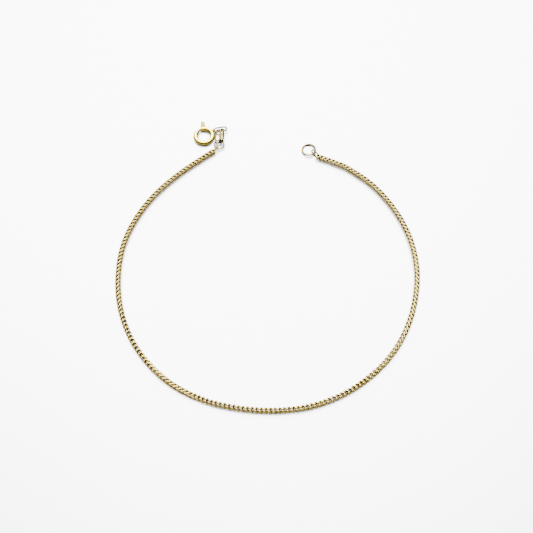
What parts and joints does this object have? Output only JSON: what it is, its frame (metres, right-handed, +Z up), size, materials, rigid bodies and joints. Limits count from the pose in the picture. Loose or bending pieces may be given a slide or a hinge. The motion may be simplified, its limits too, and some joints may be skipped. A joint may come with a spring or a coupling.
{
  "type": "franco chain bracelet",
  "caption": "Thin yellow gold chain bracelet of V-folded links, laid in an open loop, with a spring ring clasp at one end and a plain ring at the other.",
  "frame": {"origin": "middle of the footprint, on the surface the bracelet lies on", "axes": "+Z up from the surface, +Y towards the loop's open side with the clasp and the end ring, +X towards the end ring"},
  "size_m": [0.0669, 0.0712, 0.0018],
  "materials": {
    "chain_gold": "polished yellow gold, faceted links",
    "link_gold": "polished pale yellow gold wire",
    "clasp_gold": "polished pale yellow gold"
  },
  "bodies": {
    "bracelet": {"franco_chain": "chain_gold", "end_link": "link_gold", "end_ring": "link_gold", "clasp_end_link": "link_gold", "thin_jump_ring": "link_gold", "oval_jump_ring": "link_gold", "band_jump_ring": "clasp_gold", "spring_ring_body": "clasp_gold"},
    "trigger": {"spring_ring_trigger": "clasp_gold"}
  },
  "joints": [
    {"name": "trigger_hinge", "type": "hinge", "parent": "bracelet", "child": "trigger", "pos_m": [-0.01508, 0.03153, 0.00053], "axis": [0, 0, -1], "range_deg": [0, 35], "stiffness_Nm_per_rad": 0.002, "springref_deg": -5.73}
  ]
}
